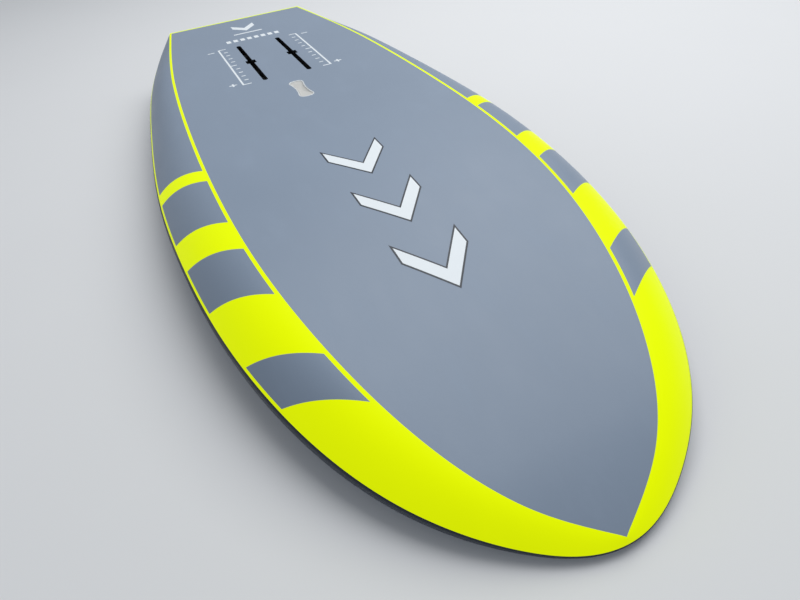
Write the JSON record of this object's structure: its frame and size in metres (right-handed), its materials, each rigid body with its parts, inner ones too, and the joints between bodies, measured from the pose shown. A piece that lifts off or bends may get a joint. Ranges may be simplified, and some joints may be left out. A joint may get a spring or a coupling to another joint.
{
  "type": "windsurf foil board",
  "caption": "Short wide windsurf foil board lying hull up: flat bevelled hull with twin sliding-nut foil tracks and a grip, foam core, padded deck with mast track, vent, leash and strap plugs.",
  "frame": {"origin": "on the hull's centreline, midway along and between the two foil tracks, on the hull surface", "axes": "+X towards the nose, +Y towards the starboard rail, +Z out of the hull; the deck and its pads face -Z and the board lies on them"},
  "size_m": [1.52, 0.61, 0.14],
  "materials": {
    "hull_paint": "satin grey-blue paint with fluorescent yellow rail bands over glass laminate",
    "deck_paint": "satin dark grey paint over glass laminate",
    "core_foam": "expanded polystyrene",
    "sandwich_foam": "closed-cell PVC foam sheet",
    "block_foam": "high-density PVC foam",
    "stringer": "paulownia strip",
    "track_plastic": "black glass-filled nylon",
    "nut_metal": "dark stainless",
    "grip_rim": "white moulded plastic",
    "grip_soft": "soft beige foam",
    "vent_plastic": "black nylon",
    "ring_rubber": "black seal rubber",
    "vent_metal": "stainless",
    "leash_plastic": "black nylon",
    "bar_metal": "polished stainless",
    "plug_plastic": "black nylon",
    "eva_pad": "grooved EVA foam"
  },
  "bodies": {
    "board": {"hull_shell": "hull_paint", "deck_shell": "deck_paint", "foam_core": "core_foam", "hull_sandwich": "sandwich_foam", "deck_sandwich": "sandwich_foam", "stringer_port": "stringer", "stringer_starboard": "stringer", "foil_track_block": "block_foam", "foil_track_port": "track_plastic", "foil_track_starboard": "track_plastic", "hull_grip_frame": "grip_rim", "hull_grip_pad": "grip_soft", "mast_track": "track_plastic", "mast_track_block": "block_foam", "vent_housing": "vent_plastic", "leash_cup": "leash_plastic", "leash_bar": "bar_metal", "front_strap_plugs": "plug_plastic", "rear_strap_plugs": "plug_plastic", "deck_pad_rear": "eva_pad", "deck_pad_port": "eva_pad", "deck_pad_starboard": "eva_pad", "tail_kick_pad": "eva_pad"},
    "front_nut_port": {"front_nut_port": "nut_metal"},
    "front_nut_starboard": {"front_nut_starboard": "nut_metal"},
    "rear_nut_port": {"rear_nut_port": "nut_metal"},
    "rear_nut_starboard": {"rear_nut_starboard": "nut_metal"},
    "mast_nut": {"mast_track_nut": "nut_metal"},
    "vent_ring": {"vent_o_ring": "ring_rubber"},
    "vent_screw": {"vent_screw": "vent_metal"}
  },
  "joints": [
    {"name": "front_nut_port_slide", "type": "slide", "parent": "board", "child": "front_nut_port", "axis": [1, 0, 0], "range_m": [-0.065, 0.039]},
    {"name": "front_nut_starboard_slide", "type": "slide", "parent": "board", "child": "front_nut_starboard", "axis": [1, 0, 0], "range_m": [-0.065, 0.039]},
    {"name": "rear_nut_port_slide", "type": "slide", "parent": "board", "child": "rear_nut_port", "axis": [1, 0, 0], "range_m": [-0.039, 0.065]},
    {"name": "rear_nut_starboard_slide", "type": "slide", "parent": "board", "child": "rear_nut_starboard", "axis": [1, 0, 0], "range_m": [-0.039, 0.065]},
    {"name": "mast_nut_slide", "type": "slide", "parent": "board", "child": "mast_nut", "axis": [1, 0, 0], "range_m": [-0.115, 0.034]},
    {"name": "vent_lift", "type": "slide", "parent": "board", "child": "vent_ring", "axis": [0, 0, -1], "range_m": [0, 0.00875]},
    {"name": "vent_turn", "type": "hinge", "parent": "vent_ring", "child": "vent_screw", "pos_m": [0.47, 0, -0.12], "axis": [0, 0, -1], "range_deg": [0, 2580]}
  ],
  "couplings": [
    {"joint": "vent_turn", "follows": "vent_lift", "rad_per_m": 5026.5}
  ]
}
